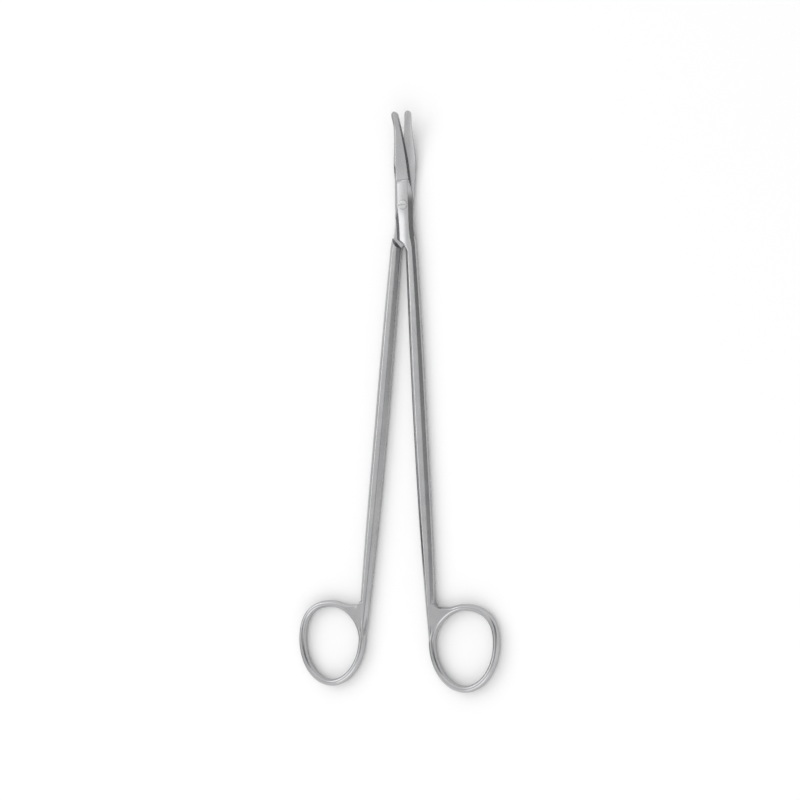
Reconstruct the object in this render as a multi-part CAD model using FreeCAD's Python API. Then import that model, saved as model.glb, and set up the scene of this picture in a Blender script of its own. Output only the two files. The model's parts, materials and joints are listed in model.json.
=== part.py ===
import FreeCAD, Part
import math
import os

from FreeCAD import Vector

# Vascular scissors, 23 cm, with slim curved blades, long shanks and two finger rings.
# Millimetres. +Y runs to the tips, +Z out of the side with the screw head. The origin lies
# on the pivot axis, in the plane that the scissors rest on.
#
# Both halves come from one drawing of a closed half: pivot at the drawing's origin, lap face
# at z = 0, material above it, the blade's back to the left and the shank to the right. The
# back half is that drawing turned half a turn about Y, with a blade ground for its own side.

# How the halves lie
rest_opening = 6.75          # degrees between the halves as they lie

# Lap joint
joint_thickness = 4.12       # both halves together at the pivot
joint_half_width = 3.9       # pivot to either side of the joint
joint_waist = 0.15           # how much slimmer the joint is just above the shoulder
lap_back_width = 3.62        # closed centre line to the blade's back, at the step
lap_clearance = 0.02         # each half's ground face to the shared lap face
lap_side_height = 0.6        # upright side below the joint's bevel
joint_bevel_width = 1.6
step_distance = 10.0         # pivot to the step down to the blade
step_depth = 0.61            # drop from the joint's face to the blade's face
flare_start = 8.5            # pivot to where the side flares out to the shank
flare_length = 10.0

# Shoulder of the lap, at 45 degrees across the half
shoulder_reach = 12.23       # pivot to the shoulder's foot, square to the shoulder
shoulder_setback = 1.0       # how far the shoulder leans back over one half's thickness
shoulder_clearance = 0.25    # end of the other half's lap to the shoulder's foot

# Blade
blade_reach = 37.6           # pivot to tip, straight
blade_flat_radius = 10.2     # the lap face is flat to here and curves up beyond
blade_curve_radius = 73.0
edge_base = 2.95             # closed centre line to the cutting edge, at the step
edge_tip = 0.75              # the same at the tip
edge_belly = 0.05            # bulge of the edge between the two
blade_tip_thickness = 0.9
edge_bevel_width = 0.42      # steep ground facet above the cutting edge
back_bevel_width = 0.95
back_bevel_drop = 0.4
edge_land = 0.5              # flat strip left along the edge by the hollow grind
hollow_depth = 0.1
tip_back_width = 2.15        # closed centre line to the blade's back, at the tip
tip_waist_width = 1.85       # the same where the blade is slimmest
tip_waist_distance = 5.6     # slimmest place to the tip
tip_cap_length = 1.35        # length of the tip's rounding
back_shoulder_length = 5.8   # the back runs straight from the step for this length
sweep_softness = 0.45        # how softly the back's sweep starts and ends, 0 is straight
blade_root_lap = 0.02        # step in the sides where joint and blade meet
blade_sunk_length = 0.3      # the blade starts this far inside the joint's step

# Shank
shank_gap = 0.3              # between the two shanks when closed
shank_width_joint = 4.4
shank_width_middle = 5.3
shank_width_ring = 3.9
shank_thickness_ring = 3.98
shank_bevel_share = 0.3      # each bevel's share of the shank's width
shank_bevel_height = 1.2
shank_bow = 2.4              # how far the shank swings out just above the ring
shank_bow_power = 2.5        # how late it does so
shank_start = 20.0           # pivot to where the shank has its full section
shank_middle = 78.0          # pivot to its widest place

# Finger ring, an egg with its blunt end to the joint
ring_level = 173.9           # pivot to the ring's widest level
ring_side_gap = 3.3          # closed centre line to the ring's side
ring_half_width = 13.1       # centre of the stock, side to middle
ring_upper_height = 13.4     # centre of the stock, widest level to top
ring_lower_height = 17.4     # centre of the stock, widest level to bottom
ring_arc_count = 8           # stretches of the ring's centre line, each drawn as two arcs
ring_fullness = 2.4          # exponent of the upper outer quarter, 2 is an ellipse
ring_root_fullness = 1.8     # the same at the root, where the shank and web join it
ring_stock = 2.75            # across the stock, in the ring's plane
ring_depth = 4.12            # along the finger
ring_lean = 2.0              # degrees that the ring's long axis leans to the centre line
root_length = 16.9           # ring's widest level to where the shank starts to merge
root_slope = 6.0             # degrees that the bridge to the shank falls from the ring's top
bridge_start = 101           # degrees round the ring where the bridge leaves it
bridge_width = 2.7           # across the bridge, in the ring's plane
bridge_depth = 3.94
web_thickness = 3.9
tail_width = 2.3             # shank's last section, inside the ring's side
tail_bevel_width = 0.95
tail_side_height = 0.4
cove_radius = 1.6            # inside corner between shank and ring

# Pivot screw
screw_shank_diameter = 2.4
screw_head_diameter = 3.7
screw_head_height = 1.05
screw_slot_width = 0.45
screw_slot_depth = 0.4
screw_running_clearance = 0.03
screw_thread_clearance = 0.01

# Worked out
half_thickness = joint_thickness / 2
lap_floor = -lap_side_height / 2     # blocks start below the lap face, which is cut later
rest_height = max(joint_thickness, ring_depth) / 2
blade_base_thickness = half_thickness - step_depth
blade_base = step_distance + step_depth
blade_length = blade_reach - blade_base
ring_centre = Vector(ring_side_gap + ring_stock / 2 + ring_half_width, -ring_level, 0)
shank_end = ring_level - root_length
far = 60.0                   # reach of the cutting tools, well past the part


def polygon(points):
    """Face inside a closed run of straight lines."""
    return Part.Face(Part.makePolygon(points + [points[0]]))


def wire_of(points):
    """Closed wire of straight lines."""
    return Part.makePolygon(points + [points[0]])


def turned_over(shape):
    """The same shape turned half a turn about Y, from the front half's side to the back's."""
    copy = shape.copy()
    copy.rotate(Vector(0, 0, 0), Vector(0, 1, 0), 180)
    return copy


def blend(start, end, share):
    """Value between start and end, with the share kept between 0 and 1."""
    share = min(max(share, 0.0), 1.0)
    return start + (end - start) * share


# Lap face

def lap_rise(distance):
    """Height of the curved lap face at this distance from the pivot axis."""
    beyond = max(distance - blade_flat_radius, 0.0)
    return blade_curve_radius - math.sqrt(blade_curve_radius ** 2 - beyond ** 2)


def blade_side_space(side):
    """What the other half sweeps on the blades' side of the pivot: a turned body, so that the
    two lap faces slide on each other at every angle. side is 1 for the front half, -1 for
    the back."""
    gap = side * lap_clearance
    reach = blade_reach + shoulder_reach
    middle = (blade_flat_radius + reach) / 2
    outer_z = -side * far / 2
    flat_end = Vector(blade_flat_radius, 0, gap)
    curve_middle = Vector(middle, 0, lap_rise(middle) + gap)
    curve_end = Vector(reach, 0, lap_rise(reach) + gap)
    edges = [
        Part.makeLine(Vector(0, 0, outer_z), Vector(0, 0, gap)),
        Part.makeLine(Vector(0, 0, gap), flat_end),
        Part.Arc(flat_end, curve_middle, curve_end).toShape(),
        Part.makeLine(curve_end, Vector(reach, 0, outer_z)),
        Part.makeLine(Vector(reach, 0, outer_z), Vector(0, 0, outer_z)),
    ]
    profile = Part.Face(Part.Wire(edges))
    return profile.revolve(Vector(0, 0, 0), Vector(0, 0, 1), 180)


def shank_side_space():
    """What the back half's lap takes from the front half below the pivot, as far as the
    leaning 45-degree shoulder."""
    away = Vector(1, -1, 0).normalize()
    along = Vector(1, 1, 0).normalize()
    depth = far / 4
    lean = shoulder_setback * depth / half_thickness
    foot = away * shoulder_reach
    top = Vector(0, 0, lap_clearance)
    down = Vector(0, 0, -depth)
    profile = polygon([
        top - away * far,
        foot + top,
        foot + away * lean + down,
        down - away * far,
    ])
    profile.translate(along * -far)
    slab = profile.extrude(along * 2 * far)
    below = Part.makeBox(2 * far, 2 * far, far, Vector(-far, -2 * far, -far / 2))
    return slab.common(below)


def lap_end_cut():
    """What lies past the lap's own end, parallel to the back half's shoulder."""
    away = Vector(-1, -1, 0).normalize()
    along = Vector(1, -1, 0).normalize()
    start = away * (shoulder_reach - shoulder_clearance)
    profile = polygon([
        start + Vector(0, 0, -far),
        start + Vector(0, 0, far),
        start + away * far + Vector(0, 0, far),
        start + away * far + Vector(0, 0, -far),
    ])
    profile.translate(along * -far)
    return profile.extrude(along * 2 * far)


# Shank and joint block

def shank_width(y):
    """Width of the shank: slim at both ends, widest in the middle."""
    distance = -y
    if distance <= shank_middle:
        share = (shank_middle - distance) / (shank_middle - shank_start)
        return shank_width_middle - (shank_width_middle - shank_width_joint) * share ** 2
    share = (distance - shank_middle) / (shank_end - shank_middle)
    return shank_width_middle - (shank_width_middle - shank_width_ring) * share ** 3


def shank_inner(y):
    """Inner side of the shank, from the closed centre line."""
    share = max(-y - shank_start, 0.0) / (shank_end - shank_start)
    return shank_gap / 2 + shank_bow * share ** shank_bow_power


def eased(share):
    """Share from 0 to 1 that starts and ends level."""
    share = min(max(share, 0.0), 1.0)
    return share * share * (3 - 2 * share)


def outer_side(y):
    """Side of the half that carries the shank: in to the edge above the pivot, slim below
    it, then flaring out to the shank."""
    if y >= 0:
        return blend(joint_half_width, edge_base - blade_root_lap, y / blade_base)
    full = shank_gap / 2 + shank_width_joint
    waist = joint_half_width - joint_waist * eased(-y / flare_start)
    return blend(waist, full, eased((-y - flare_start) / flare_length))


def back_side(y):
    """Other side of the joint, which runs on into the blade's back."""
    return blend(joint_half_width, lap_back_width, abs(y) / blade_base)


def outer_bevel(y):
    """Width of the bevel on the shank's side and the height where it starts: the cutting
    edge's facet at the step, wide at the pivot, the shank's bevel at the shoulder."""
    if y >= 0:
        edge_facet = edge_bevel_width * half_thickness / blade_base_thickness
        share = y / blade_base
        return (blend(joint_bevel_width, edge_facet, share),
                blend(lap_side_height, lap_clearance, share))
    share = -y / shank_start
    return (blend(joint_bevel_width, shank_bevel_share * shank_width_joint, share),
            blend(lap_side_height, half_thickness - shank_bevel_height, share))


def block_section(y):
    """Upper half of the joint's section, flat on top with a bevel to each side."""
    left = -back_side(y)
    right = outer_side(y)
    bevel, side_height = outer_bevel(y)
    return wire_of([
        Vector(left, y, lap_floor),
        Vector(left, y, lap_side_height),
        Vector(left + joint_bevel_width, y, half_thickness),
        Vector(right - bevel, y, half_thickness),
        Vector(right, y, side_height),
        Vector(right, y, lap_floor),
    ])


def joint_block():
    """Joint from the heel of the blade to the shoulder, with the sloped step to the blade."""
    heel = blade_base + lap_side_height / 4
    flare_end = -flare_start - flare_length
    count = 4
    upper_stations = [heel, heel / 2, 0, -flare_start / 2]
    upper_stations += [-flare_start - flare_length * i / count for i in range(count + 1)]
    upper = Part.makeLoft([block_section(y) for y in upper_stations], True, False)
    lower = Part.makeLoft([block_section(y) for y in (flare_end, -shank_start)], True, True)
    block = upper.fuse(lower).cut(lap_end_cut())
    step = polygon([
        Vector(-far, step_distance, half_thickness),
        Vector(-far, step_distance + far, half_thickness - far),
        Vector(-far, step_distance + far, half_thickness + far),
        Vector(-far, step_distance, half_thickness + far),
    ])
    return block.cut(step.extrude(Vector(2 * far, 0, 0)))


def octagon(y, left, width, thickness, bevel, bevel_height):
    """Shank section: flat faces with four bevels."""
    right = left + width
    top = thickness / 2
    side = top - bevel_height
    return wire_of([
        Vector(left, y, -side),
        Vector(left, y, side),
        Vector(left + bevel, y, top),
        Vector(right - bevel, y, top),
        Vector(right, y, side),
        Vector(right, y, -side),
        Vector(right - bevel, y, -top),
        Vector(left + bevel, y, -top),
    ])


def shank_section(y):
    width = shank_width(y)
    share = (-y - shank_start) / (shank_end - shank_start)
    thickness = blend(joint_thickness, shank_thickness_ring, share)
    return octagon(y, shank_inner(y), width, thickness, shank_bevel_share * width,
                   shank_bevel_height)


def neck_section(y):
    """Shank section inside the joint, where it follows the joint block's side."""
    width = outer_side(y) - shank_gap / 2
    bevel, side_height = outer_bevel(y)
    return octagon(y, shank_gap / 2, width, joint_thickness, bevel,
                   half_thickness - side_height)


def ring_side_section(share):
    """Shank section below the shank proper, which runs straight on into the ring's side."""
    y = -shank_end - root_length * share
    slope = shank_bow * shank_bow_power / (shank_end - shank_start)
    left = shank_inner(-shank_end) + slope * root_length * share
    width = blend(shank_width_ring, tail_width, share)
    bevel = blend(shank_bevel_share * shank_width_ring, tail_bevel_width, share)
    tail_bevel_height = (shank_thickness_ring - tail_side_height) / 2
    height = blend(shank_bevel_height, tail_bevel_height, share)
    return octagon(y, left, width, shank_thickness_ring, bevel, height)


def shank():
    """Long octagonal shank, from inside the joint to the side of the ring."""
    count = 8
    pitch = (shank_end - shank_start) / count
    stations = [-(shank_start + pitch * i) for i in range(count + 1)]
    sections = [shank_section(y) for y in stations]
    sections.append(ring_side_section(0.5))
    sections.append(ring_side_section(1.0))
    body = Part.makeLoft(sections, True, False)
    flare_end = -flare_start - flare_length
    count = 4
    stations = [-flare_start - flare_length * i / count for i in range(count + 1)]
    flare = Part.makeLoft([neck_section(y) for y in stations], True, False)
    neck = Part.makeLoft([neck_section(flare_end), neck_section(-shank_start)], True, True)
    return body.fuse([flare, neck])


# Ring

def ring_point(degrees):
    """Point on the centre line of the ring's stock: an ellipse with fuller quarters above."""
    angle = math.radians(degrees)
    cosine = math.cos(angle)
    sine = math.sin(angle)
    power = 2.0
    height = ring_lower_height
    if sine > 0:
        power = ring_fullness if cosine > 0 else ring_root_fullness
        height = ring_upper_height
    u = ring_half_width * math.copysign(abs(cosine) ** (2 / power), cosine)
    v = height * math.copysign(abs(sine) ** (2 / power), sine)
    lean = math.radians(-ring_lean)
    x = u * math.cos(lean) - v * math.sin(lean)
    y = u * math.sin(lean) + v * math.cos(lean)
    return ring_centre + Vector(x, y, 0)


def ring_tangent(degrees):
    """Direction of the centre line, from the chord over one degree."""
    return (ring_point(degrees + 0.5) - ring_point(degrees - 0.5)).normalize()


def arc_from(start, tangent, end):
    """Arc that leaves start along the tangent and reaches end: start, end, centre, angle."""
    chord = end - start
    inward = Vector(-tangent.y, tangent.x, 0)
    radius = chord.dot(chord) / (2 * chord.dot(inward))
    angle = 2 * math.asin(chord.Length / (2 * abs(radius)))
    return start, end, start + inward * radius, math.degrees(angle)


def ring_arcs():
    """Closed centre line as tangent arcs. Between neighbouring points of ring_arc_count, two
    arcs meet where both of them leave their points by equal lengths of tangent."""
    arcs = []
    for i in range(ring_arc_count):
        first = 360 * i / ring_arc_count
        last = 360 * (i + 1) / ring_arc_count
        start, end = ring_point(first), ring_point(last)
        leave, arrive = ring_tangent(first), ring_tangent(last)
        chord = end - start
        spread = 2 * (1 - leave.dot(arrive))
        along = chord.dot(leave + arrive)
        reach = (math.sqrt(along ** 2 + spread * chord.dot(chord)) - along) / spread
        middle = (start + end + (leave - arrive) * reach) * 0.5
        crossing = (middle - start - leave * reach).normalize()
        arcs.append(arc_from(start, leave, middle))
        arcs.append(arc_from(middle, crossing, end))
    return arcs


def ring_outline():
    """Centre line of the stock as a closed wire."""
    edges = []
    for start, end, centre, _ in ring_arcs():
        radius = (start - centre).Length
        halfway = centre + ((start + end) * 0.5 - centre).normalize() * radius
        edges.append(Part.Arc(start, halfway, end).toShape())
    return Part.Wire(edges)


def stock_oval(centre, direction, width, depth):
    """Oval section of the ring's stock, square to the direction, deep along Z: two end arcs
    and two flatter side arcs that meet where both lean by 45 degrees."""
    across = direction.cross(Vector(0, 0, 1)).normalize()
    end_radius = (width / 2 - depth / 2 * (math.sqrt(2) - 1)) / (2 - math.sqrt(2))
    join_across = end_radius / math.sqrt(2)
    join_up = depth / 2 - end_radius + join_across
    places = [(join_across, join_up), (0, depth / 2), (-join_across, join_up),
              (-width / 2, 0), (-join_across, -join_up), (0, -depth / 2),
              (join_across, -join_up), (width / 2, 0), (join_across, join_up)]
    points = [centre + across * x + Vector(0, 0, z) for x, z in places]
    arcs = [Part.Arc(*points[i:i + 3]).toShape() for i in (0, 2, 4, 6)]
    return Part.Wire(arcs)


def finger_ring():
    """Stock turned about the centre of each arc in turn, and joined to one ring."""
    pieces = []
    for start, _, centre, angle in ring_arcs():
        direction = (start - centre).normalize().cross(Vector(0, 0, -1))
        section = Part.Face(stock_oval(start, direction, ring_stock, ring_depth))
        pieces.append(section.revolve(centre, Vector(0, 0, 1), angle))
    return pieces[0].multiFuse(pieces[1:])


def bridge_points():
    """Centre line of the bridge from the ring's top to the shank, falling by root_slope."""
    start = ring_point(bridge_start)
    slope = math.radians(root_slope - ring_lean)
    end_x = shank_inner(-shank_end) + shank_width_ring / 2
    run = start.x - end_x
    end = Vector(end_x, start.y - run * math.tan(slope), 0)
    return start, end


def bridge():
    """Stock that carries the ring's top over to the shank."""
    start, end = bridge_points()
    direction = (end - start).normalize()
    section = Part.Face(stock_oval(start, direction, bridge_width, bridge_depth))
    return section.extrude(end - start)


def web():
    """Flat web that fills the corner between shank, bridge and ring."""
    start, end = bridge_points()
    flat_edge = shank_inner(-shank_end) + shank_bevel_share * shank_width_ring
    corner = Vector(flat_edge, end.y, 0)
    plate = polygon([corner, ring_point(180), ring_centre, start, end])
    plate.translate(Vector(0, 0, -web_thickness / 2))
    plate = plate.extrude(Vector(0, 0, web_thickness))
    hole = Part.Face(ring_outline())
    hole.translate(Vector(0, 0, -far / 2))
    return plate.cut(hole.extrude(Vector(0, 0, far)))


def cove():
    """Inside corner between the shank's outer side and the bridge, rounded in plan, with the
    shank's bevel carried round it by a cone-edged wheel."""
    start, end = bridge_points()
    direction = (start - end).normalize()
    normal = Vector(-direction.y, direction.x, 0)
    side_x = shank_inner(-shank_end) + shank_width_ring
    centre_x = side_x + cove_radius
    along = (centre_x - end.x) / direction.x
    centre = end + direction * along + normal * (bridge_width / 2 + cove_radius)
    top = web_thickness / 2
    side = shank_thickness_ring / 2 - shank_bevel_height
    bevel = shank_bevel_share * shank_width_ring
    reach = cove_radius + bridge_width
    block = Part.makeBox(centre.x - end.x, reach, 2 * top,
                         Vector(end.x, centre.y - reach, -top))
    rim = cove_radius + bevel * (far - side) / shank_bevel_height
    profile = wire_of([
        Vector(0, 0, -far),
        Vector(rim, 0, -far),
        Vector(cove_radius, 0, -side),
        Vector(cove_radius, 0, side),
        Vector(rim, 0, far),
        Vector(0, 0, far),
    ])
    wheel = Part.Face(profile).revolve(Vector(0, 0, 0), Vector(0, 0, 1), 360)
    wheel.translate(centre)
    return block.cut(wheel)


# Blade

def blade_share(y):
    """How far along the blade, 0 at its base and 1 at its tip."""
    return (y - blade_base) / blade_length


def cutting_edge(y):
    share = blade_share(y)
    return edge_base + (edge_tip - edge_base) * share + edge_belly * 4 * share * (1 - share)


def blade_thickness(y):
    return blend(blade_base_thickness, blade_tip_thickness, blade_share(y))


def blade_back(y):
    """Back of the blade, from the closed centre line: straight, then a long sweep to the
    waist behind the blunt tip."""
    waist = blade_reach - tip_waist_distance
    straight = blade_base + back_shoulder_length
    share = min(max((y - straight) / (waist - straight), 0.0), 1.0)
    sweep = blend(share, eased(share), sweep_softness)
    width = lap_back_width + (tip_waist_width - lap_back_width) * sweep
    flare = min(max((y - waist) / tip_waist_distance, 0.0), 1.0)
    return width + (tip_back_width - tip_waist_width) * flare


def blade_section(y, side):
    """Section of the blade: steep edge facet, flat face, bevelled back. Heights are taken
    from the lap face, up for the front half and down for the back half."""
    edge = cutting_edge(y)
    back = -blade_back(y) + blade_root_lap
    thick = blade_thickness(y)
    base = lap_rise(y)
    drop = blend(back_bevel_drop * 2, back_bevel_drop, blade_share(y) * 4)
    under = half_thickness / 2
    run = edge_bevel_width / thick
    points = [
        (edge + run * under, -under),
        (edge - edge_bevel_width, thick),
        (back + back_bevel_width, thick),
        (back, thick - drop),
        (back, -under),
    ]
    return wire_of([Vector(side * x, y, base + side * z) for x, z in points])


def tip_outline(side):
    """Plan of the blade as a prism: generous at the edge, rounded at the tip."""
    shoulder = blade_reach - tip_cap_length
    edge = cutting_edge(shoulder)
    back = blade_back(shoulder) - blade_root_lap
    half_width = (edge + back) / 2
    middle = (edge - back) / 2
    left = Vector(middle - half_width, shoulder, 0)
    right = Vector(middle + half_width, shoulder, 0)
    start_left = Vector(-far, shoulder, 0)
    start_right = Vector(far, shoulder, 0)
    base_right = Vector(far, 0, 0)
    base_left = Vector(-far, 0, 0)
    cap = Part.Ellipse(Vector(middle, shoulder, 0), half_width, tip_cap_length)
    curve = Part.ArcOfEllipse(cap, 0, math.pi)
    edges = [
        Part.makeLine(base_left, start_left),
        Part.makeLine(start_left, left),
        curve.toShape(),
        Part.makeLine(right, start_right),
        Part.makeLine(start_right, base_right),
        Part.makeLine(base_right, base_left),
    ]
    face = Part.Face(Part.Wire(edges))
    face.translate(Vector(0, 0, -far / 2))
    prism = face.extrude(Vector(0, 0, far))
    return prism if side > 0 else turned_over(prism)


def hollow_grind(side):
    """Shallow hollow in the blade's lap face, leaving a land along the cutting edge."""
    under = half_thickness / 2

    def section(y):
        base = lap_rise(y)
        inner = cutting_edge(y) - edge_land
        back = -blade_back(y) - under
        points = [
            (inner, -under),
            (inner, lap_clearance),
            ((inner + back) / 2, hollow_depth + lap_clearance),
            (back, hollow_depth / 2),
            (back, -under),
        ]
        return wire_of([Vector(side * x, y, base + side * z) for x, z in points])

    start = blade_base + back_shoulder_length / 2
    end = blade_reach + tip_cap_length
    count = 5
    stations = [start + (end - start) * i / count for i in range(count + 1)]
    return Part.makeLoft([section(y) for y in stations], True, False)


def blade(side):
    """Curved blade for one half, before its lap face is cut."""
    start = blade_base - blade_sunk_length
    end = blade_reach + tip_cap_length
    count = 8
    stations = [start + (end - start) * i / count for i in range(count + 1)]
    stock = Part.makeLoft([blade_section(y, side) for y in stations], True, False)
    return stock.common(tip_outline(side))


# Whole pieces

def half_without_blade():
    """The front half's joint, shank and ring in the closed drawing."""
    body = joint_block().fuse([shank(), finger_ring(), bridge(), web(), cove()])
    return body.cut(shank_side_space())


def half(side):
    body = half_without_blade()
    if side < 0:
        body = turned_over(body)
    body = body.fuse(blade(side))
    body = body.cut(blade_side_space(side))
    body = body.cut(hollow_grind(side))
    return body


def placed(shape, side):
    """Turned from the closed drawing to the resting pose and set on the floor."""
    copy = shape.copy()
    copy.rotate(Vector(0, 0, 0), Vector(0, 0, 1), side * rest_opening / 2)
    copy.translate(Vector(0, 0, rest_height))
    return copy


def front_half():
    """Half on the screw-head side, with a clearance hole and a recess for the head."""
    body = half(1)
    bore = screw_shank_diameter / 2 + screw_running_clearance
    recess = screw_head_diameter / 2 + screw_running_clearance
    seat = half_thickness - screw_head_height - screw_running_clearance
    body = body.cut(Part.makeCylinder(bore, far, Vector(0, 0, -far / 2)))
    body = body.cut(Part.makeCylinder(recess, far, Vector(0, 0, seat)))
    return placed(body, 1)


def back_half():
    """Half that the screw is threaded into."""
    body = half(-1)
    bore = screw_shank_diameter / 2 + screw_thread_clearance
    body = body.cut(Part.makeCylinder(bore, far, Vector(0, 0, -far / 2)))
    return placed(body, -1)


def pivot_screw():
    """Slotted screw, its head flush in the front half and its end flush in the back half."""
    seat = half_thickness - screw_head_height
    stem = Part.makeCylinder(screw_shank_diameter / 2, seat + half_thickness,
                             Vector(0, 0, -half_thickness))
    head = Part.makeCylinder(screw_head_diameter / 2, screw_head_height, Vector(0, 0, seat))
    slot = Part.makeBox(far, screw_slot_width, far,
                        Vector(-far / 2, -screw_slot_width / 2,
                               half_thickness - screw_slot_depth))
    body = stem.fuse(head).removeSplitter().cut(slot)
    body.translate(Vector(0, 0, rest_height))
    return body


def main():
    os.makedirs("parts", exist_ok=True)
    pieces = {
        "front_half": front_half(),
        "back_half": back_half(),
        "pivot_screw": pivot_screw(),
    }
    for name, shape in pieces.items():
        solid = shape.Solids[0] if len(shape.Solids) == 1 else shape
        print(name, "solids", len(shape.Solids), "valid", shape.isValid(),
              "volume", round(shape.Volume, 1))
        solid.exportStep("parts/" + name + ".step")


main()
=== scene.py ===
"""Vascular scissors, 23 cm, as they lie on a pale table: two satin-ground stainless halves with
curved blunt blades, faceted shanks and egg-shaped finger rings, and a slotted flush screw."""

import json
import math

import bpy
import numpy as np
from bpy.props import FloatProperty, FloatVectorProperty, PointerProperty
from bpy.types import Operator, Panel, PropertyGroup
from mathutils import Matrix, Vector


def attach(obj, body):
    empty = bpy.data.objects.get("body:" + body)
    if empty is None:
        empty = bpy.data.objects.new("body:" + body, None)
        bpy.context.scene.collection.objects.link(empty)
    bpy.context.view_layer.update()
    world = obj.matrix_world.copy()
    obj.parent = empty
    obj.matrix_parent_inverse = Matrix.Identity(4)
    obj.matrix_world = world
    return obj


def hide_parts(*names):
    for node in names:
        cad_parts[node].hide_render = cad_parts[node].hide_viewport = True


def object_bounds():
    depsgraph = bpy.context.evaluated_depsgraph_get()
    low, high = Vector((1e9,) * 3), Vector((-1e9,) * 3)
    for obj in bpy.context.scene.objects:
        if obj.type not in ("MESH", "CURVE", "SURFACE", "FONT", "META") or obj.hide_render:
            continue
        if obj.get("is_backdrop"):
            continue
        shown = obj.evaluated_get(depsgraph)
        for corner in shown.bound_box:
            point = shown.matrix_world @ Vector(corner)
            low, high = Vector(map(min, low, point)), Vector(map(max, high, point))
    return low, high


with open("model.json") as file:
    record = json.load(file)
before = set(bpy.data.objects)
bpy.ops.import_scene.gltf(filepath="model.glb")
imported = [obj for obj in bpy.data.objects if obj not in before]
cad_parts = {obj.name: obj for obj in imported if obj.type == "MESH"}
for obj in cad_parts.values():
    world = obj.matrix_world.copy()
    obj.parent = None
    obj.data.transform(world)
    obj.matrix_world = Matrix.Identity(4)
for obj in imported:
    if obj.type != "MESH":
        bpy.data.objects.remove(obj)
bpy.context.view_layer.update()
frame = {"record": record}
PIVOT = frame["record"]["behaviour"]["joints"][0]["pos_m"]

bl_info = {
    "name": "Vascular scissors",
    "version": (1, 0, 0),
    "blender": (4, 5, 0),
    "location": "View3D > Sidebar > Scissors",
    "description": "Builds a pair of vascular scissors and the table that they lie on",
    "category": "Add Mesh",
}

MM = 0.001
ROOT_2 = math.sqrt(2)
IMAGE_SIZE = 800
SENSOR_WIDTH = 36.0
TABLE_EXTENT = 8.0
SHARP_ANGLE = math.radians(34)

# Rows of points on each stretch of a half, from the tip down
BODY_ROWS = {"cap": 11, "blade": 46, "joint": 12, "screw": 6, "lap": 8, "lap_end": 9,
             "shoulder": 22, "shank": 53, "tail": 13}
SETTLING_PASSES = 8

# Degrees round the ring's centre line where the root starts, the bridge meets the cove, the
# cove ends, the border turns down under the shank's flat, and the root ends; then the rows
# on these four stretches and on the rest of the ring
ROOT_MARKS = (101.0, 126.0, 138.0, 142.0, 168.0)
ROOT_ROWS = (22, 20, 6, 30)
RIM_ROWS = 169

# Spots of the tent: direction, degrees within which a spot is full and past which it is gone,
# and the setting that gives its brightness
TENT_SPOTS = (
    ((-0.4, 0.0, 0.91), 16, 34, "sky_above"),
    ((0.8, 0.37, 0.47), 8, 31, "sky_right"),
    ((-0.99, 0.0, 0.05), 14, 32, "sky_left"),
    ((0.4, -0.1, 0.91), 8, 20, "sky_camera"),
)

# Light panels, in metres: place and size of each, and the point they are aimed at
KEY_PLACE, KEY_SIZE = (-1.0, 0.3, 0.85), (1.1, 0.8)
FILL_PLACE, FILL_SIZE = (0.2, -1.15, 0.8), (1.0, 0.7)
PANEL_AIM = (0.0, -0.08, 0.0)


# Sizes and colours that a user would change

def number(name, default, description, **kind):
    return FloatProperty(name=name, description=description, default=default, **kind)


def mm(name, millimetres, description):
    """A length property, its default given in millimetres."""
    return number(name, millimetres * MM, description, unit="LENGTH", precision=5)


def angle(name, degrees, description):
    """An angle property, its default given in degrees."""
    return number(name, math.radians(degrees), description, unit="ROTATION")


def share(name, value, description):
    return number(name, value, description, min=0, max=1, subtype="FACTOR")


def linear(code):
    """Linear red, green and blue of an sRGB hex colour such as #A0B0C0."""
    parts = np.array([int(code[i:i + 2], 16) for i in (1, 3, 5)]) / 255
    values = np.where(parts <= 0.04045, parts / 12.92, ((parts + 0.055) / 1.055) ** 2.4)
    return tuple(values.tolist())


def colour(name, code, description):
    """A colour property, its default given as sRGB hex."""
    return FloatVectorProperty(name=name, description=description, default=linear(code),
                               size=3, min=0, max=1, subtype="COLOR")


class JointSizes(PropertyGroup):
    """Lap joint, and how the halves lie."""
    opening: angle("Opening", 6.75, "Angle between the halves as they lie")
    thickness: mm("Thickness", 4.12, "Both halves together at the pivot")
    half_width: mm("Half width", 3.9, "Pivot to either side of the joint")
    waist: mm("Waist", 0.15, "Narrowing above the shoulder")
    back_width: mm("Back width", 3.62, "Centre line to the back at the step")
    clearance: mm("Lap clearance", 0.02, "Ground face to the shared lap face")
    side_height: mm("Side height", 0.6, "Upright side below the bevel")
    bevel: mm("Bevel", 1.6, "Width of the bevel to each side")
    step_distance: mm("Step", 10.0, "Pivot to the step down to the blade")
    step_depth: mm("Step depth", 0.61, "Drop from the joint's face to the blade's")
    flare_start: mm("Flare start", 8.5, "Pivot to where the side flares out")
    flare_length: mm("Flare length", 10.0, "Length of the flare to the shank")
    shoulder: mm("Shoulder", 12.23, "Pivot to the shoulder's foot, square to it")
    shoulder_clearance: mm("Shoulder gap", 0.25, "Lap end to the other half's shoulder")
    setback: mm("Shoulder lean", 1.0, "Lean of the shoulder over half the thickness")
    softness: mm("Edge softness", 0.16, "Rounding of the outer edges")
    chamfer: mm("Lap end chamfer", 0.8, "Width of the chamfer over the lap end")
    chamfer_drop: mm("Chamfer drop", 0.3, "Height of that chamfer")
    crown: mm("Crown", 0.55, "Fall of the face to its left bevel at the shoulder")
    crown_above: mm("Crown at the screw", 0.2, "The same at the screw and the step")
    crown_start: mm("Crown start", 1.4, "Centre line to where the face starts to fall")
    shank_crown: mm("Shank crown", 0.16, "Fall across the face at the top of the shank")


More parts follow.
